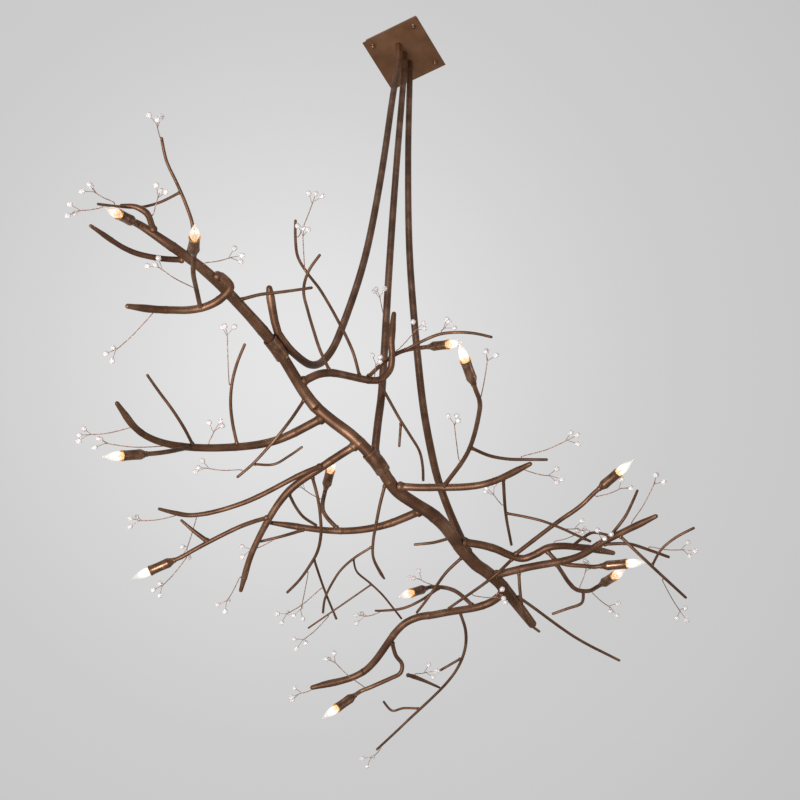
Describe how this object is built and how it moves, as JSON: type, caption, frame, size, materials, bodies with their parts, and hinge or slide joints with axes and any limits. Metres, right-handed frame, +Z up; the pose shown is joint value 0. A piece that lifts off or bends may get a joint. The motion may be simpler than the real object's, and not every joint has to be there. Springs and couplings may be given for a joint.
{
  "type": "branch chandelier",
  "caption": "Metal bough of bare branches hung from a square ceiling canopy on long bent tubes, with candle lamps on thin arms and wire sprigs of clear beads.",
  "frame": {"origin": "centre of the canopy on the ceiling plane, which is the centre of the four ceiling screws", "axes": "+Z up into the ceiling, +X along the line of the three stems and along the bough towards its thick end, +Y to the left of that"},
  "size_m": [1.8636, 1.29, 2.2861],
  "materials": {
    "bronze": "satin",
    "dark_bronze": "satin",
    "copper_wire": "satin",
    "clear_bead": "gloss",
    "bulb_glass": "gloss",
    "zinc_steel": "satin",
    "black_moulding": "matte"
  },
  "bodies": {
    "chandelier": {"canopy": "bronze", "ceiling_plate": "zinc_steel", "canopy_studs": "zinc_steel", "ball_nuts": "dark_bronze", "stiffener": "zinc_steel", "stem_nipples": "zinc_steel", "stem_nuts": "zinc_steel", "stem_left": "bronze", "stem_middle": "bronze", "stem_right": "bronze", "bough_left": "bronze", "bough_middle": "bronze", "bough_right": "bronze", "sleeve_left": "dark_bronze", "sleeve_right": "dark_bronze", "branch_1": "bronze", "branch_2": "bronze", "branch_3": "bronze", "branch_4": "bronze", "branch_5": "bronze", "branch_6": "bronze", "branch_7": "bronze", "branch_8": "bronze", "branch_9": "bronze", "branch_10": "bronze", "branch_11": "bronze", "branch_12": "bronze", "arm_2": "bronze", "arm_3": "bronze", "arm_4": "bronze", "arm_5": "bronze", "arm_6": "bronze", "arm_7": "bronze", "arm_8": "bronze", "arm_9": "bronze", "arm_10": "bronze", "arm_11": "bronze", "arm_12": "bronze", "twigs_left": "bronze", "twigs_middle": "bronze", "twigs_low": "bronze", "twigs_right": "bronze", "lamp_cups": "dark_bronze", "lamp_holders": "black_moulding", "sprig_wires": "copper_wire", "sprig_beads": "clear_bead"},
    "bulb_1_body": {"bulb_1": "bulb_glass"},
    "bulb_2_body": {"bulb_2": "bulb_glass"},
    "bulb_3_body": {"bulb_3": "bulb_glass"},
    "bulb_4_body": {"bulb_4": "bulb_glass"},
    "bulb_5_body": {"bulb_5": "bulb_glass"},
    "bulb_6_body": {"bulb_6": "bulb_glass"},
    "bulb_7_body": {"bulb_7": "bulb_glass"},
    "bulb_8_body": {"bulb_8": "bulb_glass"},
    "bulb_9_body": {"bulb_9": "bulb_glass"},
    "bulb_10_body": {"bulb_10": "bulb_glass"},
    "bulb_11_body": {"bulb_11": "bulb_glass"},
    "bulb_12_body": {"bulb_12": "bulb_glass"}
  },
  "joints": [
    {"name": "bulb_1_unscrew", "type": "hinge", "parent": "chandelier", "child": "bulb_1_body", "pos_m": [-0.9082, 0.22711, -1.91582], "axis": [-0.84, 0.0202, -0.5422], "range_deg": [0, 1260]},
    {"name": "bulb_2_unscrew", "type": "hinge", "parent": "chandelier", "child": "bulb_2_body", "pos_m": [-0.85203, 0.05563, -2.05292], "axis": [-0.7553, -0.5487, -0.3584], "range_deg": [0, 1260]},
    {"name": "bulb_3_unscrew", "type": "hinge", "parent": "chandelier", "child": "bulb_3_body", "pos_m": [-0.49457, 0.46054, -2.19002], "axis": [-0.7094, 0.4967, -0.5], "range_deg": [0, 1260]},
    {"name": "bulb_4_unscrew", "type": "hinge", "parent": "chandelier", "child": "bulb_4_body", "pos_m": [-0.11617, 0.64275, -2.1534], "axis": [-0.1677, 0.9513, -0.2588], "range_deg": [0, 1260]},
    {"name": "bulb_5_unscrew", "type": "hinge", "parent": "chandelier", "child": "bulb_5_body", "pos_m": [0.005, 0.22184, -1.91297], "axis": [-0.7656, -0.6424, -0.0349], "range_deg": [0, 1260]},
    {"name": "bulb_6_unscrew", "type": "hinge", "parent": "chandelier", "child": "bulb_6_body", "pos_m": [-0.03887, -0.13651, -1.65578], "axis": [-0.0777, -0.8876, -0.454], "range_deg": [0, 1260]},
    {"name": "bulb_7_unscrew", "type": "hinge", "parent": "chandelier", "child": "bulb_7_body", "pos_m": [-0.29604, -0.31688, -2.1016], "axis": [-0.9698, -0.171, 0.1736], "range_deg": [0, 1260]},
    {"name": "bulb_8_unscrew", "type": "hinge", "parent": "chandelier", "child": "bulb_8_body", "pos_m": [0.25947, -0.44351, -2.01859], "axis": [-0.3407, -0.9361, 0.0872], "range_deg": [0, 1260]},
    {"name": "bulb_9_unscrew", "type": "hinge", "parent": "chandelier", "child": "bulb_9_body", "pos_m": [0.43956, -0.37176, -2.13517], "axis": [0.171, -0.9698, -0.1736], "range_deg": [0, 1260]},
    {"name": "bulb_10_unscrew", "type": "hinge", "parent": "chandelier", "child": "bulb_10_body", "pos_m": [0.50938, -0.31685, -2.09951], "axis": [-0.539, -0.7698, -0.342], "range_deg": [0, 1260]},
    {"name": "bulb_11_unscrew", "type": "hinge", "parent": "chandelier", "child": "bulb_11_body", "pos_m": [0.4368, 0.2125, -1.97733], "axis": [-0.684, 0.319, -0.6561], "range_deg": [0, 1260]},
    {"name": "bulb_12_unscrew", "type": "hinge", "parent": "chandelier", "child": "bulb_12_body", "pos_m": [0.47606, 0.45323, -2.23775], "axis": [-0.4056, 0.5792, -0.7071], "range_deg": [0, 1260]}
  ]
}
